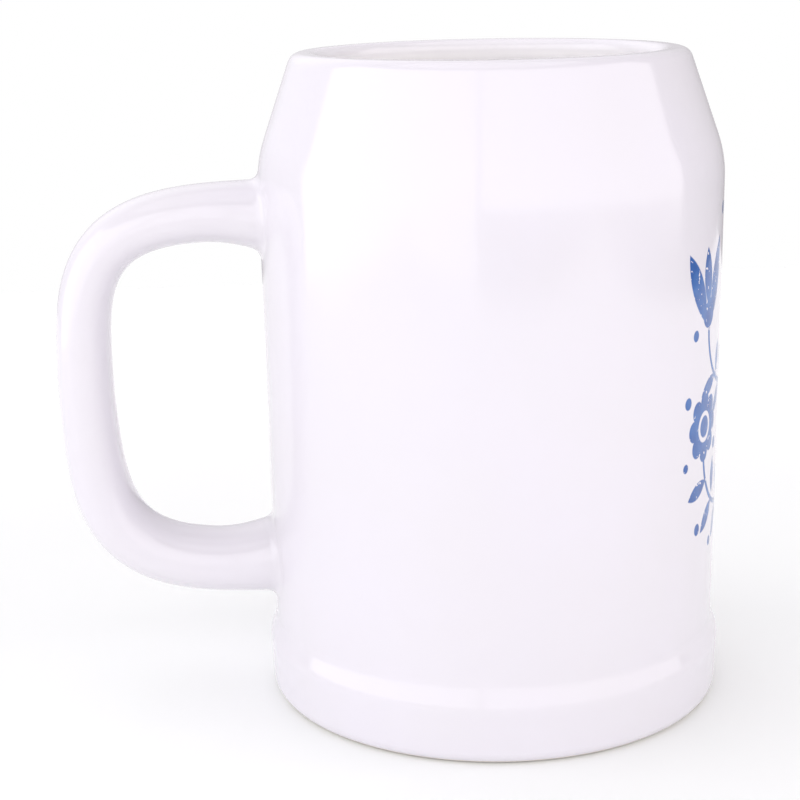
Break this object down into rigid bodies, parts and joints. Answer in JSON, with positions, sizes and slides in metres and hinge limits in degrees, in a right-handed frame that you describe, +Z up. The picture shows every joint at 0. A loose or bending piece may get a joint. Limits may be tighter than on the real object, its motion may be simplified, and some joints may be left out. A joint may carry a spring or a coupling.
{
  "type": "beer mug",
  "caption": "Glazed ceramic beer mug: a hollow straight body on a foot band, narrowed to a rounded lip, with a loop handle and a blue folk ornament as colour in the glaze.",
  "frame": {"origin": "on the ground, under the middle of the whole mug's box, handle included; the body's own axis stands 20.05 mm from it, towards +X", "axes": "+Z up along the body's axis; the handle points along -X"},
  "size_m": [0.132, 0.092, 0.1282],
  "materials": {
    "glaze": "gloss"
  },
  "bodies": {
    "root": {"mug": "glaze"}
  },
  "joints": []
}
